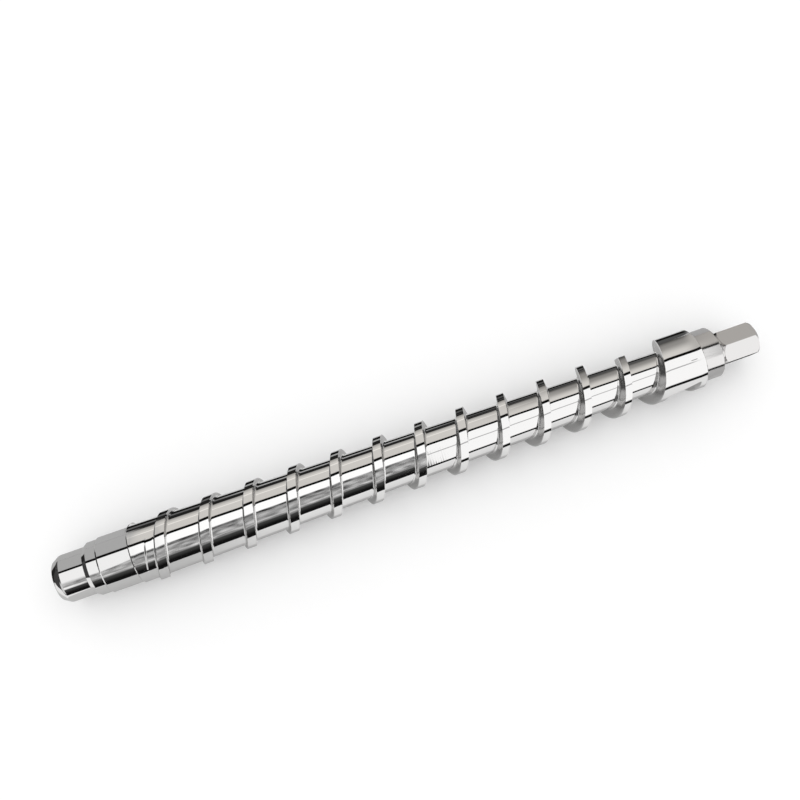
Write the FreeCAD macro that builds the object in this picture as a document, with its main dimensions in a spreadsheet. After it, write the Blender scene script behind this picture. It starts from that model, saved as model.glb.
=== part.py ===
import FreeCAD, Part
import math
import os
import Sketcher

# Oil press screw, cut from one bar of stainless steel
# The screw is drawn along X, with the discharge end at 0 and the drive hexagon at the far end.
# A left-hand groove leaves the flight standing on a root that thins towards the feed end.
# Turns of flats are counted about X from the place where the groove starts, with the hands of
# a clock for someone who looks from the drive end. The groove and its ramp run the other way.

doc = FreeCAD.newDocument("oil_press_screw")
sizes = doc.addObject("Spreadsheet::Sheet", "sizes")

# Sizes that can each be set by themselves, in millimetres and degrees
DRIVING = [
    ("flight_diameter", 21, "outside of the flight and the collar"),
    ("nose_diameter", 12.8, "end face at the discharge end"),
    ("nose_length", 2.3, "chamfer behind the end face"),
    ("nose_round", 1.5, "rounding between that chamfer and the journal"),
    ("journal_diameter", 15.6, "bearing journal at the discharge end"),
    ("journal_length", 10.3, "end face to the far end of the journal"),
    ("ring_lead", 1.5, "cone between the journal and the guide ring"),
    ("ring_diameter", 17.6, "guide ring"),
    ("ring_length", 3.2, "guide ring"),
    ("shoulder_lead", 0.5, "cone between the guide ring and the shoulder"),
    ("shoulder_diameter", 18.4, "plain shoulder in front of the worm"),
    ("shoulder_length", 9.9, "plain shoulder in front of the worm"),
    ("worm_length", 190, "shoulder to the middle of the groove's start"),
    ("pitch", 14.55, "advance of the groove in one turn"),
    ("land_width", 2.35, "top of the flight at the feed end"),
    ("root_discharge_diameter", 19.2, "root at the shoulder"),
    ("root_feed_diameter", 12.65, "root at the groove's start"),
    ("flank_angle", 7, "lean of the flight's sides"),
    ("cutter_overrun", 0.1, "extra depth of the cutter, which the root's cone fills again"),
    ("plunge_arc", 10, "start of the groove to the top of its ramp"),
    ("ramp_arc", 35, "turn in which the ramp reaches the root"),
    ("ramp_skew", 12, "lean of the ramp across the groove"),
    ("collar_reach", 7.9, "middle of the groove's start to the collar's drive side"),
    ("collar_break", 0.3, "broken edges of the collar and the spigot"),
    ("spigot_diameter", 17.7, "spigot that seats in the drive end's bearing"),
    ("spigot_length", 7.2, "spigot"),
    ("neck_diameter", 10.8, "neck in front of the hexagon"),
    ("neck_length", 2, "neck in front of the hexagon"),
    ("hex_flats", 11, "hexagon across its flats"),
    ("hex_length", 13, "hexagon with the cones at both its ends"),
    ("hex_turn", 82, "turn of one flat from the groove's start"),
    ("hex_end_drop", 0.7, "depth of the end chamfer on the corners"),
    ("hex_end_lead", 1.1, "length of the end chamfer"),
    ("relief_height", 8.54, "axis to the flat filed on the flight"),
    ("relief_width", 9, "length of that flat along the screw"),
    ("relief_turn", 138, "turn of that flat from the groove's start"),
    ("lying_turn", 62, "turn from the groove's start to the side that lies uppermost"),
]

# Sizes that follow from those
FOLLOWING = [
    ("flight_radius", "flight_diameter / 2"),
    ("nose_radius", "nose_diameter / 2"),
    ("journal_radius", "journal_diameter / 2"),
    ("ring_radius", "ring_diameter / 2"),
    ("shoulder_radius", "shoulder_diameter / 2"),
    ("spigot_radius", "spigot_diameter / 2"),
    ("neck_radius", "neck_diameter / 2"),
    ("hex_radius", "hex_flats / 2"),
    ("corner_radius", "hex_radius / cos(30)"),
    ("hex_end_radius", "corner_radius - hex_end_drop"),
    ("ring_start", "journal_length + ring_lead"),
    ("ring_stop", "ring_start + ring_length"),
    ("shoulder_start", "ring_stop + shoulder_lead"),
    ("worm_start", "shoulder_start + shoulder_length"),
    ("worm_full", "worm_start + flight_radius - shoulder_radius"),
    ("groove_start", "worm_start + worm_length"),
    ("collar_stop", "groove_start + collar_reach"),
    ("spigot_stop", "collar_stop + spigot_length"),
    ("neck_stop", "spigot_stop + neck_length"),
    ("hex_full", "neck_stop + corner_radius - neck_radius"),
    ("total_length", "neck_stop + hex_length"),
    ("hex_end_start", "total_length - hex_end_lead"),
    ("root_radius", "root_feed_diameter / 2"),
    ("taper", "atan((root_discharge_diameter - root_feed_diameter) / 2 / worm_length)"),
    ("groove_depth", "flight_radius - root_radius"),
    ("groove_half_top", "(pitch - land_width) / 2"),
    ("groove_half_foot", "groove_half_top - groove_depth * tan(flank_angle)"),
    ("root_lead", "worm_start + (root_discharge_diameter / 2 - shoulder_radius) / (1 + tan(taper))"),
    ("root_lead_radius", "shoulder_radius + root_lead - worm_start"),
    ("root_drop", "groove_half_foot * tan(taper)"),
    ("root_stop", "groove_start + groove_half_foot"),
    ("root_stop_radius", "root_radius - root_drop"),
    ("tool_radius", "flight_radius + land_width / 2"),
    ("tool_half_top", "groove_half_top + land_width / 2 * tan(flank_angle)"),
    ("tool_left", "groove_start - tool_half_top"),
    ("tool_right", "groove_start + tool_half_top"),
    ("foot_left_radius", "root_radius - cutter_overrun + root_drop"),
    ("foot_right_radius", "root_radius - cutter_overrun - root_drop"),
    ("foot_left", "tool_left + (tool_radius - foot_left_radius) * tan(flank_angle)"),
    ("foot_right", "tool_right - (tool_radius - foot_right_radius) * tan(flank_angle)"),
    ("groove_travel", "worm_length + pitch"),
    ("ramp_advance", "pitch * (plunge_arc + ramp_arc) / 360 / 2"),
    ("ramp_place", "groove_start - ramp_advance"),
    ("ramp_top_run", "flight_radius * sin(plunge_arc)"),
    ("ramp_top_rise", "flight_radius * cos(plunge_arc)"),
    ("ramp_foot_run", "root_radius * sin(plunge_arc + ramp_arc)"),
    ("ramp_foot_rise", "root_radius * cos(plunge_arc + ramp_arc)"),
    ("ramp_slope", "(ramp_foot_run - ramp_top_run) / (ramp_top_rise - ramp_foot_rise)"),
    ("ramp_high", "tool_radius + land_width"),
    ("ramp_high_run", "ramp_top_run - ramp_slope * (ramp_high - ramp_top_rise)"),
    ("ramp_low_run", "ramp_foot_run + ramp_slope * ramp_foot_rise"),
    ("ramp_back", "tool_half_top * tan(ramp_skew)"),
    ("flat_reach", "corner_radius + hex_end_drop"),
    ("relief_place", "groove_start - pitch * (1.5 - relief_turn / 360)"),
]

X_AXIS = FreeCAD.Vector(1, 0, 0)
Z_AXIS = FreeCAD.Vector(0, 0, 1)
NEAR = 0.01


def fill_sheet():
    """Writes both lists into the sheet, one row for each size."""
    rows = [(name, str(value), note) for name, value, note in DRIVING]
    rows += [(name, "=" + formula, "follows") for name, formula in FOLLOWING]
    for row, (name, content, note) in enumerate(rows, start=1):
        sizes.set(f"A{row}", name)
        sizes.set(f"B{row}", content)
        sizes.set(f"C{row}", note)
        sizes.setAlias(f"B{row}", name)
    doc.recompute()


def size(name):
    """Value of one size as a plain number."""
    value = getattr(sizes, name)
    return float(getattr(value, "Value", value))


def new_sketch(body, role, name):
    """Empty sketch on one of the body's own planes."""
    sketch = body.newObject("Sketcher::SketchObject", name)
    plane = next(item for item in body.Origin.OriginFeatures if item.Role == role)
    sketch.AttachmentSupport = [(plane, "")]
    sketch.MapMode = "FlatFace"
    return sketch


def place_point(sketch, line, end, across, up):
    """Ties an end of a line to two sizes, measured from the sketch's origin."""
    for kind, name in (("DistanceX", across), ("DistanceY", up)):
        sign = -1 if name.startswith("-") else 1
        plain = name.lstrip("-")
        if plain == "0":
            axis = -2 if kind == "DistanceX" else -1
            sketch.addConstraint(Sketcher.Constraint("PointOnObject", line, end, axis))
            continue
        first, last = ((-1, 1), (line, end)) if sign > 0 else ((line, end), (-1, 1))
        index = sketch.addConstraint(Sketcher.Constraint(kind, *first, *last, size(plain)))
        sketch.setExpression(f"Constraints[{index}]", f"sizes.{plain}")


def spot(across, up):
    """Point of a sketch from two names of sizes. Either can be 0 or have a minus."""
    def value(name):
        plain = name.lstrip("-")
        return 0 if plain == "0" else size(plain) * (1 if plain == name else -1)

    return FreeCAD.Vector(value(across), value(up), 0)


def turned_about(axis, name):
    """Placement at the origin, turned about an axis by a named size."""
    return FreeCAD.Placement(FreeCAD.Vector(), FreeCAD.Rotation(axis, size(name)))


def add_outline(sketch, corners):
    """Closed outline of straight lines whose corners are each given by two names."""
    points = [spot(across, up) for across, up in corners]
    following = points[1:] + points[:1]
    lines = [sketch.addGeometry(Part.LineSegment(a, b), False) for a, b in zip(points, following)]
    for line, after in zip(lines, lines[1:] + lines[:1]):
        sketch.addConstraint(Sketcher.Constraint("Coincident", line, 2, after, 1))
    for line, (across, up) in zip(lines, corners):
        place_point(sketch, line, 1, across, up)


def circle_edges(feature, places):
    """Names of the feature's round edges at the given places, each an X and a radius."""
    found = []
    for index, edge in enumerate(feature.Shape.Edges, start=1):
        point = edge.valueAt(edge.FirstParameter)
        middle = edge.valueAt((edge.FirstParameter + edge.LastParameter) / 2)
        for along, radius in places:
            misses = [
                max(abs(at.x - along), abs(math.hypot(at.y, at.z) - radius))
                for at in (point, middle)
            ]
            if max(misses) < NEAR:
                found.append(f"Edge{index}")
    return found


fill_sheet()
press_screw = doc.addObject("PartDesign::Body", "press_screw")

# Turned blank, with the cone that leads into the worm and the round bar for the hexagon
profile = new_sketch(press_screw, "XY_Plane", "blank_profile")
add_outline(profile, [
    ("0", "0"),
    ("0", "nose_radius"),
    ("nose_length", "journal_radius"),
    ("journal_length", "journal_radius"),
    ("ring_start", "ring_radius"),
    ("ring_stop", "ring_radius"),
    ("shoulder_start", "shoulder_radius"),
    ("worm_start", "shoulder_radius"),
    ("worm_full", "flight_radius"),
    ("collar_stop", "flight_radius"),
    ("collar_stop", "spigot_radius"),
    ("spigot_stop", "spigot_radius"),
    ("spigot_stop", "neck_radius"),
    ("neck_stop", "neck_radius"),
    ("hex_full", "corner_radius"),
    ("hex_end_start", "corner_radius"),
    ("total_length", "hex_end_radius"),
    ("total_length", "0"),
])
doc.recompute()
blank = press_screw.newObject("PartDesign::Revolution", "blank")
blank.Profile = profile
blank.ReferenceAxis = (profile, ["H_Axis"])
blank.Angle = 360
doc.recompute()

# Rounded nose
nose = press_screw.newObject("PartDesign::Fillet", "nose")
nose.Base = (blank, circle_edges(blank, [(size("nose_length"), size("journal_radius"))]))
nose.setExpression("Radius", "sizes.nose_round")
doc.recompute()

# Broken edges of the collar and the spigot
breaks = press_screw.newObject("PartDesign::Chamfer", "broken_edges")
breaks.Base = (nose, circle_edges(nose, [
    (size("collar_stop"), size("flight_radius")),
    (size("spigot_stop"), size("spigot_radius")),
]))
breaks.setExpression("Size", "sizes.collar_break")
doc.recompute()

# Section of the groove: its foot follows the root's cone, and its two flanks lean outwards
groove_cutter = doc.addObject("PartDesign::Body", "groove_cutter")
section = new_sketch(groove_cutter, "XZ_Plane", "groove_section")
add_outline(section, [
    ("foot_left", "foot_left_radius"),
    ("tool_left", "tool_radius"),
    ("tool_right", "tool_radius"),
    ("foot_right", "foot_right_radius"),
])
doc.recompute()

# The section carried along a left-hand helix that widens with the root
sweep = groove_cutter.newObject("PartDesign::AdditiveHelix", "groove_sweep")
sweep.Profile = section
sweep.ReferenceAxis = (section, ["H_Axis"])
sweep.Mode = "pitch-height-angle"
sweep.LeftHanded = True
sweep.Reversed = True
sweep.setExpression("Pitch", "sizes.pitch")
sweep.setExpression("Height", "sizes.groove_travel")
sweep.setExpression("Angle", "sizes.taper")
doc.recompute()

# Ramp at the start, where the tool runs in: what lies before its slope stays uncut
ramp_profile = new_sketch(groove_cutter, "YZ_Plane", "ramp_profile")
ramp_profile.setExpression("AttachmentOffset.Base.z", "sizes.ramp_place")
add_outline(ramp_profile, [
    ("-ramp_low_run", "0"),
    ("-ramp_high_run", "ramp_high"),
    ("ramp_back", "ramp_high"),
    ("ramp_back", "0"),
])
doc.recompute()
ramp = groove_cutter.newObject("PartDesign::Pocket", "ramp")
ramp.Profile = ramp_profile
ramp.SideType = "Symmetric"
ramp.Type = "Length"
ramp.UseCustomVector = True
ramp.Direction = X_AXIS
ramp.setExpression("Direction.y", "tan(sizes.ramp_skew)")
ramp.setExpression("Length", "sizes.pitch")
doc.recompute()

# The groove taken out of the blank
groove = press_screw.newObject("PartDesign::Boolean", "groove")
groove.Type = "Cut"
groove.addObject(groove_cutter)
doc.recompute()

# Cone of the root, on which the flight stands. At the discharge end it meets the worm's own cone.
root_profile = new_sketch(press_screw, "XY_Plane", "root_profile")
add_outline(root_profile, [
    ("worm_start", "0"),
    ("worm_start", "shoulder_radius"),
    ("root_lead", "root_lead_radius"),
    ("root_stop", "root_stop_radius"),
    ("root_stop", "0"),
])
doc.recompute()
root = press_screw.newObject("PartDesign::Revolution", "root")
root.Profile = root_profile
root.ReferenceAxis = (root_profile, ["H_Axis"])
root.Angle = 360
doc.recompute()

# Flat filed on the flight, where the land passes between the groove's first and second turn
relief_profile = new_sketch(press_screw, "YZ_Plane", "relief_profile")
relief_profile.AttachmentOffset = turned_about(-Z_AXIS, "relief_turn")
relief_profile.setExpression("AttachmentOffset.Base.z", "sizes.relief_place")
relief_profile.setExpression("AttachmentOffset.Rotation.Angle", "sizes.relief_turn")
add_outline(relief_profile, [
    ("-flight_radius", "relief_height"),
    ("flight_radius", "relief_height"),
    ("flight_radius", "tool_radius"),
    ("-flight_radius", "tool_radius"),
])
doc.recompute()
relief = press_screw.newObject("PartDesign::Pocket", "relief")
relief.Profile = relief_profile
relief.SideType = "Symmetric"
relief.setExpression("Length", "sizes.relief_width")
doc.recompute()

# Hexagon: one flat milled from the end, then copied round the axis
flat_profile = new_sketch(press_screw, "YZ_Plane", "flat_profile")
flat_profile.AttachmentOffset = turned_about(-Z_AXIS, "hex_turn")
flat_profile.setExpression("AttachmentOffset.Base.z", "sizes.total_length")
flat_profile.setExpression("AttachmentOffset.Rotation.Angle", "sizes.hex_turn")
add_outline(flat_profile, [
    ("-corner_radius", "hex_radius"),
    ("corner_radius", "hex_radius"),
    ("corner_radius", "flat_reach"),
    ("-corner_radius", "flat_reach"),
])
doc.recompute()
flat = press_screw.newObject("PartDesign::Pocket", "flat")
flat.Profile = flat_profile
flat.setExpression("Length", "sizes.hex_length")
doc.recompute()
hexagon = press_screw.newObject("PartDesign::PolarPattern", "hexagon")
hexagon.Originals = [flat]
hexagon.Axis = (flat_profile, ["N_Axis"])
hexagon.Angle = 360
hexagon.Occurrences = 6
press_screw.Tip = hexagon
doc.recompute()

# The screw lies on its flight and collar, with the middle of its length at the origin
press_screw.Placement = turned_about(X_AXIS, "lying_turn")
press_screw.setExpression("Placement.Base.x", "-sizes.total_length / 2")
press_screw.setExpression("Placement.Base.z", "sizes.flight_radius")
press_screw.setExpression("Placement.Rotation.Angle", "sizes.lying_turn")
doc.recompute()

faulty = [item.Name for item in doc.Objects if "Invalid" in item.State or "Error" in item.State]
if faulty or press_screw.Shape.isNull() or not press_screw.Shape.isValid():
    raise RuntimeError(f"the model has faults: {faulty}")
os.makedirs("parts", exist_ok=True)
press_screw.Shape.exportStep("parts/press_screw.step")
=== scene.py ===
# %% [markdown]
# # The oil press screw
# The real part is one bar of stainless steel: turned, threaded with a left-hand groove, and milled to a
# hexagon at its drive end. It lies on a pale table. The CAD model gives its sizes and its place. This
# script gives it its polished surface, the fine edges that the light catches, and a studio round it.

# %% Load the frame
import math

import bmesh
import bpy
from mathutils import Matrix, Vector


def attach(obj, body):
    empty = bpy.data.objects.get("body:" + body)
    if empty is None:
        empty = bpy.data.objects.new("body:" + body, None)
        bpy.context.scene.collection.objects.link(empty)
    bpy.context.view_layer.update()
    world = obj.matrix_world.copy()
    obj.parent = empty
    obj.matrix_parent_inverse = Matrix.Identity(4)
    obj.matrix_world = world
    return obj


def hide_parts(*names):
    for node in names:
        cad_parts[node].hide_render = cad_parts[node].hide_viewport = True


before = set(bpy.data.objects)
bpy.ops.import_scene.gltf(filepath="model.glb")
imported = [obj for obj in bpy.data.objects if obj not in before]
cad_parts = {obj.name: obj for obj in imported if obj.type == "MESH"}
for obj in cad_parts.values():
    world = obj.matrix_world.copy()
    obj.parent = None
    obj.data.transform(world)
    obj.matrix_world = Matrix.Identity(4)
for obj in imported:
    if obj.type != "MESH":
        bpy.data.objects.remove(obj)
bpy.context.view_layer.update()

# %% [markdown]
# ## The camera
# The screw is seen from above and a little from its front, with its feed end turned away to the right.
# Three turns place a camera that looks straight down at first: a tilt up from the table, a heading
# towards the drive end, and a small roll.

# %% Place the camera
CAMERA_PLACE = Vector((-0.025777, -0.068606, 0.285662))
CAMERA_HEADING = math.radians(-16.526)
CAMERA_TILT = math.radians(18.643)
CAMERA_ROLL = math.radians(-3.312)
CAMERA_LENS = 38.177

camera_data = bpy.data.cameras.new("camera")
camera_data.lens = CAMERA_LENS
camera_data.sensor_width = 36
camera_data.sensor_fit = "HORIZONTAL"
camera_data.clip_start = 0.01
camera = bpy.data.objects.new("camera", camera_data)
bpy.context.scene.collection.objects.link(camera)
heading = Matrix.Rotation(CAMERA_HEADING, 4, "Z")
tilt = Matrix.Rotation(CAMERA_TILT, 4, "X")
roll = Matrix.Rotation(CAMERA_ROLL, 4, "Z")
camera.matrix_world = Matrix.Translation(CAMERA_PLACE) @ heading @ tilt @ roll
bpy.context.scene.camera = camera
bpy.context.scene.view_settings.view_transform = "Standard"
print("camera looks along", [round(v, 3) for v in camera.matrix_world.to_3x3() @ Vector((0, 0, -1))])

# %% [markdown]
# ## Sums in a shader
# A material is a net of nodes. Sums are easier to read as Python, so one small class wraps a node's
# output and gives it the usual operators. Each operator adds the Math node that does that sum. A second
# helper adds any other node: it takes the node's type, its settings, and what goes into its sockets.


# %% Make shader sums readable
class Signal:
    """A number that changes from place to place in a shader."""

    def __init__(self, tree, socket):
        self.tree = tree
        self.socket = socket

    def calc(self, operation, *values):
        return add_node(self.tree, "ShaderNodeMath", {"operation": operation}, dict(enumerate(values)))

    def __add__(self, other):
        return self.calc("ADD", self, other)

    def __radd__(self, other):
        return self.calc("ADD", other, self)

    def __sub__(self, other):
        return self.calc("SUBTRACT", self, other)

    def __rsub__(self, other):
        return self.calc("SUBTRACT", other, self)

    def __mul__(self, other):
        return self.calc("MULTIPLY", self, other)

    def __rmul__(self, other):
        return self.calc("MULTIPLY", other, self)

    def __neg__(self):
        return self.calc("MULTIPLY", self, -1)

    def root(self):
        return self.calc("SQRT", self)

    def size(self):
        """The number without its sign."""
        return self.calc("ABSOLUTE", self)

    def most(self, other):
        """The larger of two numbers."""
        return self.calc("MAXIMUM", self, other)

    def wave(self):
        return self.calc("SINE", self)

    def wrap(self, low, high):
        """Brings a number that grows on and on back between two limits."""
        return self.calc("WRAP", self, high, low)

    def turn_from(self, other):
        """Angle of the point (other, self) in degrees."""
        return self.calc("ARCTAN2", self, other) * (180 / math.pi)

    def toward(self, other, amount):
        """This number, moved towards another by an amount from 0 to 1."""
        return self + (other - self) * amount

    def rise(self, start, stop):
        """0 before start and 1 after stop, with a soft change between them."""
        settings = {"interpolation_type": "SMOOTHSTEP", "clamp": True}
        ends = {"From Min": start, "From Max": stop, "To Min": 0, "To Max": 1}
        return add_node(self.tree, "ShaderNodeMapRange", settings, {"Value": self} | ends)

    def band(self, start, stop, soft):
        """1 between start and stop, and 0 outside them."""
        return self.rise(start - soft, start + soft) * (1 - self.rise(stop - soft, stop + soft))


def add_node(tree, kind, settings, sockets, output=0):
    """Adds one node, sets it up, and fills its sockets with values or links."""
    node = tree.nodes.new(kind)
    for name, value in settings.items():
        setattr(node, name, value)
    for name, value in sockets.items():
        if isinstance(value, Signal):
            tree.links.new(value.socket, node.inputs[name])
        else:
            node.inputs[name].default_value = value
    return Signal(tree, node.outputs[output]) if len(node.outputs) else None


def add_mix(tree, amount, first, second):
    """Mixes two colours by an amount from 0 to 1."""
    return add_node(tree, "ShaderNodeMix", {"data_type": "RGBA"}, {0: amount, 6: first, 7: second}, 2)


def split_place(tree, place):
    """The three numbers that a place or a direction is made of."""
    node = tree.nodes.new("ShaderNodeSeparateXYZ")
    tree.links.new(place.socket, node.inputs[0])
    return [Signal(tree, output) for output in node.outputs]


print("kinds of sum:", sum(callable(way) for way in vars(Signal).values()))

# %% [markdown]
# ## The studio
# Polished steel has hardly any colour of its own. What it shows is the room, so the room is drawn with
# care: a world whose brightness depends on direction, like soft boxes and dark screens that run along
# the screw. Lamps and cards would do it too, but each would need its own place. Directions are given as
# two angles in degrees. One goes round the screw, with 0 level towards the viewer, 90 straight up and
# 180 level behind. The other leans towards the drive end.

# %% Measure directions in the room
world = bpy.data.worlds.new("studio")
world.use_nodes = True
bpy.context.scene.world = world
room = world.node_tree
room.nodes.clear()
along, deep, high = split_place(room, add_node(room, "ShaderNodeTexCoord", {}, {}))
round_screw = high.turn_from(-deep)
lean = along.calc("ARCSINE", along) * (180 / math.pi)

feed_side = lean.rise(6.8, 7.7)
nose_side = 1 - lean.rise(-13.5, -12)
journal_side = 1 - lean.rise(-17.8, -17)
drive_end = lean.rise(23.9, 24.5)
far_left = 1 - lean.rise(-27, -20)
left_corner = 1 - lean.rise(-62, -56)
over_hexagon = lean.band(26.1, 29, 0.2) * round_screw.band(50, 112, 3)
print("nodes for the directions:", len(room.nodes))

# %% [markdown]
# ## In front of the screw
# Low down in front it is dark, and higher up hang two soft boxes. On the left the lower one starts late,
# so the steel shows a dark band there, with the dim and cluttered room above it. On the right it starts
# near the table, and only a thin seam shows between the two boxes.

# %% Draw the front of the room
window_low = 77 - 20 * (1 - lean.rise(-16.5, -12))
window_soft = 2 + 9 * journal_side
window = round_screw.rise(window_low - window_soft, window_low + window_soft)
clutter_at = {"X": along * 90, "Y": round_screw * 0.075, "Z": 0}
clutter_place = add_node(room, "ShaderNodeCombineXYZ", {}, clutter_at)
clutter = add_node(room, "ShaderNodeTexNoise", {}, {"Vector": clutter_place, "Scale": 1, "Detail": 5})
uneven = clutter - 0.5

dim_front = 0.006 + 0.06 * round_screw.rise(4, 26) + 0.36 * round_screw.rise(24, 32)
dim_front = dim_front + uneven * 2.4 * round_screw.rise(26, 34) + 0.3 * round_screw.band(34, 38, 2)
dim_front = dim_front - 0.2 * round_screw.band(67, 76, 2)
dim_front = dim_front + journal_side * 0.7 * round_screw.band(27, 36, 2)
front_left = dim_front.toward(1.35 - 0.2 * nose_side, window)
seam = round_screw.band(60, 64, 1) * (1 - drive_end)
front_right = 0.005 + 1.25 * round_screw.rise(1, 5) - 0.75 * seam
front = front_left.toward(front_right, feed_side)
print("nodes with the front:", len(room.nodes))

# %% [markdown]
# ## Overhead and behind
# A dark gap divides the soft boxes in front from the wall behind. It isn't quite straight overhead, and
# comes forward towards the drive end. The wall gets darker down to its skirting, and near the feed end
# it falls off sooner. Far to the left and right are darker side walls.

# %% Draw the gap and the walls
gap_at = 114 - 0.36 * (lean + 8).most(0)
from_gap = round_screw - gap_at
gap = from_gap.band(-5, 5, 0.8)
behind = from_gap.rise(-0.5, 0.5)

wall_middle = 0.8 + 0.3 * round_screw.band(147, 151, 1.5) - 0.3 * round_screw.rise(156, 170)
wall_middle = wall_middle * (1 - 0.97 * round_screw.rise(170, 174))
wall_feed = 0.85 - 0.5 * round_screw.rise(116, 156) - 0.28 * round_screw.rise(156, 186)
wall = wall_middle.toward(wall_feed, lean.rise(10, 18))
wall = wall.toward(0.51, nose_side).toward(0.58, drive_end)

brightness = front.toward(wall, behind) * (1 - gap)
side_wall = 0.8 - 0.74 * round_screw.rise(52, 76) + uneven * 0.8 * round_screw.rise(60, 70)
brightness = brightness.toward(side_wall, far_left).toward(0.06, left_corner)
brightness = brightness * (1 - 0.97 * over_hexagon)
brightness = brightness.most(0.004)
print("nodes with the walls:", len(room.nodes))

# %% [markdown]
# ## What the room does for each ray
# Only the steel's reflections see the drawn room. The camera sees plain white, and everything else is
# lit by an even light of about the same strength, so that the paper stays white and keeps its shadow.
# The wall behind is a little warmer than the soft boxes.

# %% Light the room
DAYLIGHT = 1.05

paths = room.nodes.new("ShaderNodeLightPath")
from_camera = Signal(room, paths.outputs["Is Camera Ray"])
from_gloss = Signal(room, paths.outputs["Is Glossy Ray"])
level = from_gloss * brightness + (1 - from_gloss) * DAYLIGHT
level = from_camera + (1 - from_camera) * level
warm = behind * (1 - nose_side) * from_gloss
tint = add_mix(room, warm, (1, 1, 1, 1), (1, 0.97, 0.925, 1))
background = add_node(room, "ShaderNodeBackground", {}, {"Color": tint, "Strength": level})
add_node(room, "ShaderNodeOutputWorld", {}, {"Surface": background})
print("nodes in the studio:", len(room.nodes))

# %% [markdown]
# ## The table
# A plain white sheet lies under the screw and carries its shadow. It is far larger than the view, so no
# edge of it shows. One flat square of mesh is enough.

# %% Lay the table
TABLE_HALF = 3.0

table_mesh = bpy.data.meshes.new("table")
table_form = bmesh.new()
bmesh.ops.create_grid(table_form, x_segments=1, y_segments=1, size=TABLE_HALF)
table_form.to_mesh(table_mesh)
table_form.free()
table = bpy.data.objects.new("table", table_mesh)
bpy.context.scene.collection.objects.link(table)
print("table is", 2 * TABLE_HALF, "m wide")

# %% [markdown]
# ## What lies round the screw
# Steel mirrors the table too, with whatever lies on it. In the reflections alone, the paper has darker
# tones: a painted shadow along both sides of the screw, painted shade under and past the drive end, two
# strips behind the screw, a dark edge in front, and greyer paper beside both ends. The camera sees clean
# white paper. Real cards could lie there instead, but they would show from other sides.

# %% Tone the front of the paper
paper = bpy.data.materials.new("white paper")
paper.use_nodes = True
sheet_net = paper.node_tree
sheet_net.nodes.clear()
spread = add_node(sheet_net, "ShaderNodeTexCoord", {}, {}, "Object")
sheet_x, sheet_y, _ = split_place(sheet_net, spread)

# Along both sides of the screw the paper is darker: a painted shadow of the screw, seen only in the steel's
# reflections.
painted_screw_shadow = 1 - sheet_y.size().rise(0.014, 0.02)
right_end = (sheet_x - 0.43 * sheet_y.size()).rise(0.098, 0.101)
front_tone = 0.62 + 0.33 * sheet_x.rise(-0.1, -0.04)
front_tone = front_tone.toward(0.97, 1 - sheet_x.rise(-0.14, -0.132))
front_tone = front_tone.toward(0.55, right_end).toward(0.62, painted_screw_shadow)
front_tone = front_tone * (1 - 0.99 * (-sheet_y).rise(0.112, 0.124))
print("nodes for the front of the paper:", len(sheet_net.nodes))

# %% Tone the back of the paper
strip_near = sheet_y.band(0.024, 0.052, 0.003)
strip_far = sheet_y.rise(0.083, 0.093) * (1 - 0.55 * sheet_x.rise(0.1, 0.13))
between = 0.55 + 0.3 * (1 - sheet_x.rise(-0.08, -0.06)) + 0.35 * sheet_x.rise(0.0, 0.03)
strips = (0.99 * strip_near).most(0.98 * strip_far).most(between * sheet_y.rise(0.03, 0.05))
left_end = 1 - (sheet_x + 0.25 * sheet_y).rise(-0.0973, -0.0963)
back_tone = (1 - strips.most(0.32 * painted_screw_shadow)).toward(0.5, left_end.most(right_end))
back_tone = back_tone * (0.04 + 0.96 * (sheet_x + 0.34 * sheet_y).rise(-0.16, -0.148))

# Under and past the drive end the paper is nearly black: painted shade, seen only in the steel's reflections
# of the collar and the drive end.
painted_shade_past_drive_end = sheet_x.rise(0.113, 0.117) * (1 - sheet_x.rise(0.16, 0.17))
painted_shade_past_drive_end = painted_shade_past_drive_end * sheet_y.band(-0.0065, 0.019, 0.001)
sheet_tone = front_tone.toward(back_tone, sheet_y.rise(0.0, 0.012))
sheet_tone = sheet_tone * (1 - 0.97 * painted_shade_past_drive_end)

table_paths = sheet_net.nodes.new("ShaderNodeLightPath")
seen_in_steel = Signal(sheet_net, table_paths.outputs["Is Glossy Ray"])
tone = add_mix(sheet_net, (1 - sheet_tone) * seen_in_steel, (1, 1, 1, 1), (0, 0, 0, 1))
sheet = add_node(sheet_net, "ShaderNodeBsdfDiffuse", {}, {"Color": tone})
add_node(sheet_net, "ShaderNodeOutputMaterial", {}, {"Surface": sheet})
table_mesh.materials.append(paper)
print("nodes in the paper:", len(sheet_net.nodes))

# %% [markdown]
# ## Sizes of the screw
# All sizes are in millimetres, and places are measured along the screw from its discharge end, as on a
# shop drawing. They are the CAD model's own sizes, with two small ones added: the broken edges of the
# lands, and the rounded foot of the groove.

# %% Note the sizes
FLIGHT_R = 10.5
PITCH = 14.55
GROOVE_START = 215.4
ROOT_FEED_R = 6.325
ROOT_DISCHARGE_R = 9.6
WORM_LENGTH = 190
ROOT_SLOPE = (ROOT_DISCHARGE_R - ROOT_FEED_R) / WORM_LENGTH
FLANK_LEAN = math.tan(math.radians(7))
LAND_FEED = 2.35
FILLET = 0.6
HALF_FOOT = (PITCH - LAND_FEED) / 2 - (FLIGHT_R - ROOT_FEED_R) * FLANK_LEAN
FILLET_RUN = FILLET * math.tan(math.radians((90 - 7) / 2))
EDGE_BREAK = 0.08
SUPPORT = 0.06
WORM_START = 25.4
SHOULDER_R = 9.2
COLLAR_EDGE = 223.0
LENGTH = 245.5
LYING_TURN = math.radians(62)

print("groove is", round(2 * HALF_FOOT, 2), "mm wide at its foot")

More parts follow.
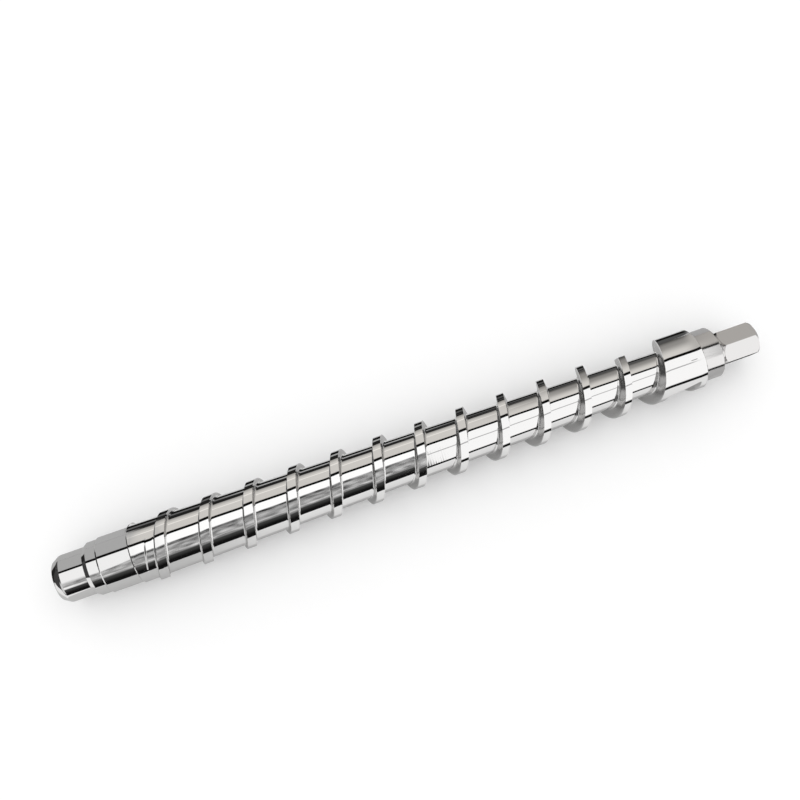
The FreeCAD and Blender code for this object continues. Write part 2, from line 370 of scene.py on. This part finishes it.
# %% [markdown]
# ## The groove's cross-section
# The tool that cut the groove has a flat end with rounded corners and slightly leaning sides. Where the
# groove is shallow, only the flat end and part of the corners have cut in. So one function draws half of
# the section for any depth, from the middle of the groove out to the middle of the land beside it. Its
# points lie close together at the roundings, so that their shading doesn't spread over the flats.


# %% Draw half of the section
ARC_STEPS = 5


def half_section(depth):
    """Points (distance from the groove's middle, height over the root) for one depth of cut."""
    edge = min(EDGE_BREAK, depth / 3)
    rim = depth - edge
    flat = HALF_FOOT - FILLET_RUN
    lowest = math.radians(-90)
    highest = math.radians(-7)
    if rim < FILLET * (1 + math.sin(highest)):
        highest = math.asin(rim / FILLET - 1)
    points = [(flat * part / 4, 0) for part in range(4)] + [(flat - SUPPORT, 0), (flat, 0)]
    for step in range(1, ARC_STEPS + 1):
        turn = lowest + (highest - lowest) * step / ARC_STEPS
        points.append((flat + FILLET * math.cos(turn), FILLET * (1 + math.sin(turn))))
    foot_out, foot_up = points[-1]
    rim_out = max(foot_out, HALF_FOOT + rim * FLANK_LEAN) if rim > foot_up + 1e-6 else foot_out
    points.append(((foot_out + rim_out) / 2, (foot_up + rim) / 2))
    points.append((rim_out, rim))
    points.append((rim_out + edge, depth))
    points.append((PITCH / 2, depth))
    return points


def whole_section(depth):
    """The section from the middle of the land on the left to the middle of the land on the right."""
    half = half_section(depth)
    left = [(-out, up) for out, up in reversed(half[1:])]
    return left + half


COLUMNS = len(whole_section(4)) - 1
print("strips across the groove:", COLUMNS)

# %% [markdown]
# ## Wrapping the groove round the shaft
# The groove starts with a ramp on the outside of the shaft, at a slight slant, and then runs round and
# round towards the discharge end. A flat grid of squares is wrapped along that path: its long side
# follows the groove, and its short side is the section. The lines across the groove keep the slant of
# the ramp, so that one turn's last line meets the next turn's first line point for point.

# %% Set out the path of the groove
STEPS_ROUND = 144
STEP = 360 / STEPS_ROUND
SLANT = 1.289
PLUNGE = 10
RAMP_ARC = 35
SLIP = 1 - SLANT * PITCH / 360


def turn_at(step, x):
    """Turn from the groove's start, where a cross line meets a place along the shaft."""
    return PLUNGE + step * STEP - SLANT * (x - GROOVE_START)


def place_on_strip(step, out):
    """Turn and place along the shaft of a point on a cross line, out from the groove's middle."""
    turn = (turn_at(step, GROOVE_START) - SLANT * out) / SLIP
    return turn, GROOVE_START - PITCH * turn / 360 + out


def root_at(x):
    return ROOT_FEED_R + (GROOVE_START - x) * ROOT_SLOPE


def ramp_height(step):
    """Radius of the ramp's flat floor on one cross line."""
    top = Vector((math.cos(math.radians(PLUNGE)), math.sin(math.radians(PLUNGE)))) * FLIGHT_R
    foot_turn = math.radians(PLUNGE + RAMP_ARC)
    foot = Vector((math.cos(foot_turn), math.sin(foot_turn))) * ROOT_FEED_R
    run = (foot - top).normalized()
    normal = Vector((-run.y, run.x))
    if normal.dot(top) < 0:
        normal = -normal
    turn = math.radians(PLUNGE + step * STEP)
    facing = normal.x * math.cos(turn) + normal.y * math.sin(turn)
    return normal.dot(top) / facing


def spot(x, radius, turn):
    """Point at one radius; turns go down from the top, against the flight's own numbering."""
    angle = math.radians(-turn)
    return Vector((x, radius * math.sin(angle), radius * math.cos(angle)))


steps_down = (GROOVE_START - WORM_START + PITCH) / PITCH * STEPS_ROUND * SLIP
STRIP_STEPS = math.ceil(steps_down)
print("cross lines along the groove:", STRIP_STEPS)

# %% [markdown]
# ## One strip of metal for the whole worm
# Now the grid can be made and wrapped. The root's flat floor comes up to the ramp where the groove
# starts, and the section adds the flanks and the lands to it.

# %% Wrap the grid
screw = bmesh.new()
bmesh.ops.create_grid(screw, x_segments=COLUMNS, y_segments=STRIP_STEPS, size=1)
screw.verts.ensure_lookup_table()
column_of = {}
for vert in screw.verts:
    column = round((vert.co.x + 1) / 2 * COLUMNS)
    step = round((vert.co.y + 1) / 2 * STRIP_STEPS)
    column_of[vert] = (column, step)
for vert, (column, step) in column_of.items():
    turn, middle = place_on_strip(step, 0)
    root = root_at(middle)
    if step * STEP < RAMP_ARC:
        root = max(root, ramp_height(step))
    root = min(root, FLIGHT_R)
    out, up = whole_section(FLIGHT_R - root)[column]
    turn, x = place_on_strip(step, out)
    radius = root + up
    if radius < FLIGHT_R - EDGE_BREAK / 2:
        radius -= out * ROOT_SLOPE
    vert.co = spot(x, min(radius, FLIGHT_R), turn)
print("points on the wrapped grid:", len(screw.verts))

# %% [markdown]
# ## The collar
# To the right of the groove's first turn there is no second groove but the collar, a full band of metal.
# A second grid fills it, from the first turn's edge to the collar's own edge. The first turn's last
# strip makes room for it.

# %% Fit the collar to the first turn
COLLAR_COLUMNS = 8
MERGE = 0.0015


def beside_collar(face):
    """True for the faces of the first turn's last strip."""
    columns = [column_of[v][0] for v in face.verts]
    steps = [column_of[v][1] for v in face.verts]
    return max(columns) == COLUMNS and min(steps) < STEPS_ROUND


bmesh.ops.delete(screw, geom=[f for f in screw.faces if beside_collar(f)], context="FACES")
made = bmesh.ops.create_grid(screw, x_segments=COLLAR_COLUMNS, y_segments=STEPS_ROUND - 1, size=1)
for vert in made["verts"]:
    column = round((vert.co.x + 1) / 2 * COLLAR_COLUMNS)
    step = round((vert.co.y + 1) / 2 * (STEPS_ROUND - 1))
    turn, middle = place_on_strip(step, 0)
    root = root_at(middle)
    if step * STEP < RAMP_ARC:
        root = max(root, ramp_height(step))
    edge_out, _ = whole_section(FLIGHT_R - min(root, FLIGHT_R))[COLUMNS - 1]
    _, edge_x = place_on_strip(step, edge_out)
    x = edge_x + (COLLAR_EDGE - edge_x) * column / COLLAR_COLUMNS
    vert.co = spot(x, FLIGHT_R, turn_at(step, x))
bmesh.ops.remove_doubles(screw, verts=screw.verts, dist=MERGE)
print("points with the collar:", len(screw.verts))

# %% [markdown]
# ## The start of the groove
# The two grids leave a narrow gap beside the ramp, between the first cross line and the last one of that
# turn. One new edge along the collar makes the gap a closed loop, and that loop is filled.

# %% Close the gap where the groove starts
first_two = []
for step in (0, STEPS_ROUND - 1):
    first_two.append(spot(COLLAR_EDGE, FLIGHT_R, turn_at(step, COLLAR_EDGE)))
ends = [min(screw.verts, key=lambda v: (v.co - point).length) for point in first_two]
screw.edges.new(ends)
gap = [e for e in screw.edges if len(e.link_faces) < 2 and WORM_START + PITCH < e.verts[0].co.x]
rim = [e for e in gap if min(v.co.x for v in e.verts) > COLLAR_EDGE - 0.001]
closing = [e for e in gap if e not in rim or e.is_wire]
filled = bmesh.ops.holes_fill(screw, edges=closing, sides=0)
bmesh.ops.triangulate(screw, faces=filled["faces"])
print("faces that close the gap:", len(filled["faces"]))

# %% [markdown]
# ## Where the worm ends
# At the discharge end the worm runs out on a cone of 45 degrees that drops to the plain shoulder. The
# wrapped grid is cut off at the shoulder, cut again at a few places along the cone, and every point that
# stands outside the cone is brought down to it.

# %% Turn the end of the worm down to a cone
CONE_CUTS = 10
CUT_SNAP = 1e-5
cone_run = FLIGHT_R - SHOULDER_R
for cut in range(CONE_CUTS + 1):
    place = Vector((WORM_START + cone_run * cut / CONE_CUTS, 0, 0))
    geom = [*screw.verts, *screw.edges, *screw.faces]
    way = {"plane_co": place, "plane_no": (1, 0, 0), "clear_inner": cut == 0, "dist": CUT_SNAP}
    bmesh.ops.bisect_plane(screw, geom=geom, **way)
for vert in screw.verts:
    cone_r = SHOULDER_R + vert.co.x - WORM_START
    radius = math.hypot(vert.co.y, vert.co.z)
    if radius > cone_r:
        vert.co.y *= cone_r / radius
        vert.co.z *= cone_r / radius
bmesh.ops.remove_doubles(screw, verts=screw.verts, dist=MERGE)
print("points after the cone:", len(screw.verts))

# %% [markdown]
# ## The turned ends
# Both ends are plain turned steps. Each open rim is pulled out again and again along the shaft's outline,
# which gives the shoulder, guide ring, journal and rounded nose at one end, and the collar, spigot, neck
# and bar at the other.

# %% Pull out the turned ends
ROUND_STEPS = 4


def arc(middle, radius, start, stop):
    """Points of a rounding in the outline, from one angle to another in degrees."""
    turns = [math.radians(start + (stop - start) * i / ROUND_STEPS) for i in range(ROUND_STEPS + 1)]
    return [(middle[0] + radius * math.cos(t), middle[1] + radius * math.sin(t)) for t in turns]


def pull_out(rim_x, outline):
    """Pulls the open rim at one place along an outline of (place, radius), and closes its end."""
    open_edges = [e for e in screw.edges if len(e.link_faces) == 1]
    rim = [e for e in open_edges if all(abs(v.co.x - rim_x) < 0.001 for v in e.verts)]
    for x, radius in outline:
        grown = bmesh.ops.extrude_edge_only(screw, edges=rim)["geom"]
        rim = [g for g in grown if isinstance(g, bmesh.types.BMEdge)]
        verts = [g for g in grown if isinstance(g, bmesh.types.BMVert)]
        old = math.hypot(verts[0].co.y, verts[0].co.z)
        bmesh.ops.scale(screw, verts=verts, vec=(1, radius / old, radius / old))
        bmesh.ops.translate(screw, verts=verts, vec=(x - verts[0].co.x, 0, 0))
    bmesh.ops.contextual_create(screw, geom=rim)
    return len(rim)


nose_lean = math.atan2(7.8 - 6.4, 2.3)
nose_tangent = 1.5 * math.tan(nose_lean / 2)
nose = arc((2.3 + nose_tangent, 7.8 - 1.5), 1.5, 90, 90 + math.degrees(nose_lean))
discharge_outline = [(15.5, 9.2), (15.0, 8.8), (11.8, 8.8), (10.3, 7.8), (2.3 + nose_tangent + SUPPORT, 7.8)]
discharge_outline += [*nose, (0.12, 6.46), (0, 6.34)]
drive_outline = [(223.3, 10.2), *arc((223.7, 9.25), 0.4, 180, 270), (223.7 + SUPPORT, 8.85)]
drive_outline += [(230.2, 8.85), (230.5, 8.55)]
drive_outline += [*arc((230.9, 5.8), 0.4, 180, 270), (232.5, 5.4), (233.75, 6.65)]
drive_outline += [(243.93, 6.65), (LENGTH, 5.651)]
print("points round the discharge end:", pull_out(WORM_START, discharge_outline))
print("points round the drive end:", pull_out(COLLAR_EDGE, drive_outline))

# %% [markdown]
# ## The hexagon and the filed flat
# The hexagon was milled from the round bar, one flat after another, so six cuts by a plane make it here
# too. Its long corners are then broken by a narrow bevel. One more flat was filed on the flight near
# the feed end, and the same cut makes it. The cut takes its edges and points in a fixed order, without
# repeats. Where it fills a flat, Blender chooses the first corner, so the triangles of a flat face can
# differ from run to run, while its points and its shape stay the same.


# %% Mill the flats
HEX_START = 232
HEX_HALF = 5.5
HEX_TURN = 82
CORNER_BREAK = 0.25


def cut_flat(start, stop, height, turn):
    """Cuts away what stands over a flat, between two places along the shaft, and closes the cut."""
    faces = [f for f in screw.faces if all(start < v.co.x < stop for v in f.verts)]
    edges = dict.fromkeys(e for f in faces for e in f.edges)
    verts = dict.fromkeys(v for f in faces for v in f.verts)
    normal = Vector((0, math.sin(math.radians(turn)), math.cos(math.radians(turn))))
    geom = [*verts, *edges, *faces]
    way = {"plane_co": normal * height, "plane_no": normal, "clear_outer": True, "dist": CUT_SNAP}
    cut = bmesh.ops.bisect_plane(screw, geom=geom, **way)
    open_edges = [g for g in cut["geom_cut"] if isinstance(g, bmesh.types.BMEdge) and len(g.link_faces) == 1]
    bmesh.ops.holes_fill(screw, edges=open_edges, sides=0)
    return len(open_edges)


def is_long_corner(edge):
    """True for the edges between two flats of the hexagon."""
    run = edge.verts[1].co - edge.verts[0].co
    on_hexagon = min(v.co.x for v in edge.verts) > HEX_START + 1
    if not on_hexagon or len(edge.link_faces) != 2 or abs(run.x) <= 0.9 * run.length:
        return False
    return edge.calc_face_angle() > math.radians(50)


for side in range(6):
    cut_flat(HEX_START, LENGTH + 1, HEX_HALF, HEX_TURN + 60 * side)
corners = [e for e in screw.edges if is_long_corner(e)]
way = {"offset": CORNER_BREAK, "offset_type": "OFFSET", "affect": "EDGES"}
bmesh.ops.bevel(screw, geom=corners, segments=1, profile=0.5, material=-1, **way)
print("long corners of the hexagon:", len(corners))

# %% File the flat on the flight
FILED_START = 194.65
FILED_END = 203.65
FILED_HEIGHT = 8.54
FILED_TURN = 138

filed = cut_flat(FILED_START, FILED_END, FILED_HEIGHT, FILED_TURN)
print("edges round the filed flat:", filed)

# %% [markdown]
# ## Shading and place
# All faces are shaded smooth, except across edges sharper than 28 degrees, which stay crisp. The screw
# was made in millimetres, with its axis along X. Here it is turned as it lies, scaled to metres, and put
# where the CAD model is, whose node it replaces.

# %% Finish the mesh and lay it in place
CRISP = math.radians(28)

bmesh.ops.recalc_face_normals(screw, faces=screw.faces)
for face in screw.faces:
    face.smooth = True
for edge in screw.edges:
    if len(edge.link_faces) == 2 and edge.calc_face_angle() > CRISP:
        edge.smooth = False
open_left = sum(1 for e in screw.edges if len(e.link_faces) != 2)
print("open edges:", open_left, "volume in mm3:", round(screw.calc_volume(signed=True), 1))
laid = Matrix.Translation((-LENGTH / 2000, 0, FLIGHT_R / 1000)) @ Matrix.Rotation(LYING_TURN, 4, "X")
bmesh.ops.transform(screw, matrix=laid @ Matrix.Scale(0.001, 4), verts=screw.verts)
screw_mesh = bpy.data.meshes.new("screw_body")
screw.to_mesh(screw_mesh)
screw.free()
screw_body = bpy.data.objects.new("screw_body", screw_mesh)
bpy.context.scene.collection.objects.link(screw_body)
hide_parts("press_screw")
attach(screw_body, "root")
print("faces on the screw:", len(screw_mesh.polygons))

# %% [markdown]
# ## Polished steel
# The screw is bright turned stainless steel, a full metal with a light grey colour. Its finish changes
# from place to place, so first every point gets its place: millimetres from the discharge end, and the
# turn round the shaft. A picture could carry the finish, but sums on the place follow it exactly.

# %% Find the place on the steel
steel = bpy.data.materials.new("turned steel")
steel.use_nodes = True
net = steel.node_tree
net.nodes.clear()
where = add_node(net, "ShaderNodeTexCoord", {}, {}, "Object")
x_mm, y_mm, z_mm = [part * 1000 for part in split_place(net, where)]
z_mm = z_mm - FLIGHT_R
turn_deg = z_mm.turn_from(-y_mm)
from_discharge = x_mm + LENGTH / 2
print("nodes for the place:", len(net.nodes))

# %% [markdown]
# ## Turning rings and smudges
# The lathe leaves fine rings round the shaft. A noise that is squeezed along the shaft and stretched
# round it makes them. A large, soft noise stands for the smudges of handling.

# %% Make rings and smudges
ring_place = add_node(net, "ShaderNodeCombineXYZ", {}, {"X": x_mm * 6, "Y": y_mm * 0.15, "Z": z_mm * 0.15})
ring_look = {"Vector": ring_place, "Scale": 1, "Detail": 3, "Roughness": 0.6}
rings = add_node(net, "ShaderNodeTexNoise", {}, ring_look)
smudge_place = add_node(net, "ShaderNodeCombineXYZ", {}, {"X": x_mm, "Y": y_mm, "Z": z_mm})
smudge = add_node(net, "ShaderNodeTexNoise", {}, {"Vector": smudge_place, "Scale": 0.25, "Detail": 3})
print("nodes with rings and smudges:", len(net.nodes))

# %% [markdown]
# ## Where the finish differs
# The drive end was ground, not polished. The flanks of the groove keep the cutter's duller finish. They
# are found by unrolling the groove: along the shaft it comes back once each pitch, moved by the turn.

# %% Find the ground end and the flanks
GROOVE_TURN = 28
FOOT_INNER = 1.75
FOOT_OUTER = 1.95
FLANK_TOP = 10.38

ground_end = from_discharge.rise(223.1, 223.5)
groove_middle = from_discharge - GROOVE_START + PITCH / 360 * (GROOVE_TURN - turn_deg) - PITCH / 2
from_land = groove_middle.wrap(-PITCH / 2, PITCH / 2).size()
land_half = LAND_FEED / 2 + (GROOVE_START - from_discharge) * (ROOT_SLOPE * FLANK_LEAN)
radius = (y_mm * y_mm + z_mm * z_mm).root()
flank = from_land.rise(land_half + 0.02, land_half + 0.07) * (1 - from_land.rise(FOOT_INNER, FOOT_OUTER))
flank = flank * (1 - radius.rise(FLANK_TOP - 0.04, FLANK_TOP + 0.04))
flank = flank * from_discharge.band(WORM_START + 1.1, COLLAR_EDGE - 3, 0.1)
dull = 0.015 + 0.03 * rings + 0.025 * smudge + 0.07 * ground_end + 0.2 * flank
print("nodes with the finishes:", len(net.nodes))

# %% [markdown]
# ## Marks of the making
# Three marks tell how this screw was made and used: a slanted line where the tool was taken out of the
# first groove, short chatter marks half way along the root, and a small scuff on the collar. The first
# two are low enough to be bump. The scuff is dark.

# %% Add the marks
MARK_PLACE = 30.5
MARK_TURN = 76
MARK_SLANT = 0.038
CHATTER_STEP = 0.87

from_mark = from_discharge - MARK_PLACE - MARK_SLANT * (turn_deg - MARK_TURN)
tool_mark = from_mark.rise(-0.35, 0.35) * (1 - from_discharge.rise(33, 34)) * turn_deg.band(-60, 88, 15)
chatter = (from_discharge * (2 * math.pi / CHATTER_STEP) + 3 * smudge).wave()
chatter = chatter * from_discharge.band(125, 134, 2.5) * smudge.rise(0.35, 0.6)
scuff = from_discharge.band(218.2, 220.4, 0.3) * turn_deg.band(72, 73.6, 0.4)
bump_height = rings * 0.0008 + tool_mark * 0.2 + chatter * 0.003
bump = add_node(net, "ShaderNodeBump", {}, {"Strength": 0.45, "Distance": 0.001, "Height": bump_height})
print("nodes with the marks:", len(net.nodes))

# %% [markdown]
# ## The steel's shader
# One Principled shader takes it all: the colour from the three greys and the scuff, the roughness from
# the rings, smudges and duller places, and the normal from the bump.

# %% Make the steel
POLISHED = (0.74, 0.735, 0.73, 1)
GROUND = (0.66, 0.65, 0.645, 1)
CUT = (0.6, 0.595, 0.59, 1)
SCUFFED = (0.1, 0.1, 0.1, 1)

metal = add_mix(net, ground_end, POLISHED, GROUND)
metal = add_mix(net, flank, metal, CUT)
metal = add_mix(net, scuff * 0.7, metal, SCUFFED)
finish = {"Base Color": metal, "Metallic": 1, "Roughness": dull, "Normal": bump}
shine = add_node(net, "ShaderNodeBsdfPrincipled", {}, finish)
add_node(net, "ShaderNodeOutputMaterial", {}, {"Surface": shine})
screw_mesh.materials.append(steel)
print("nodes in the steel:", len(net.nodes))

# %% [markdown]
# ## The end
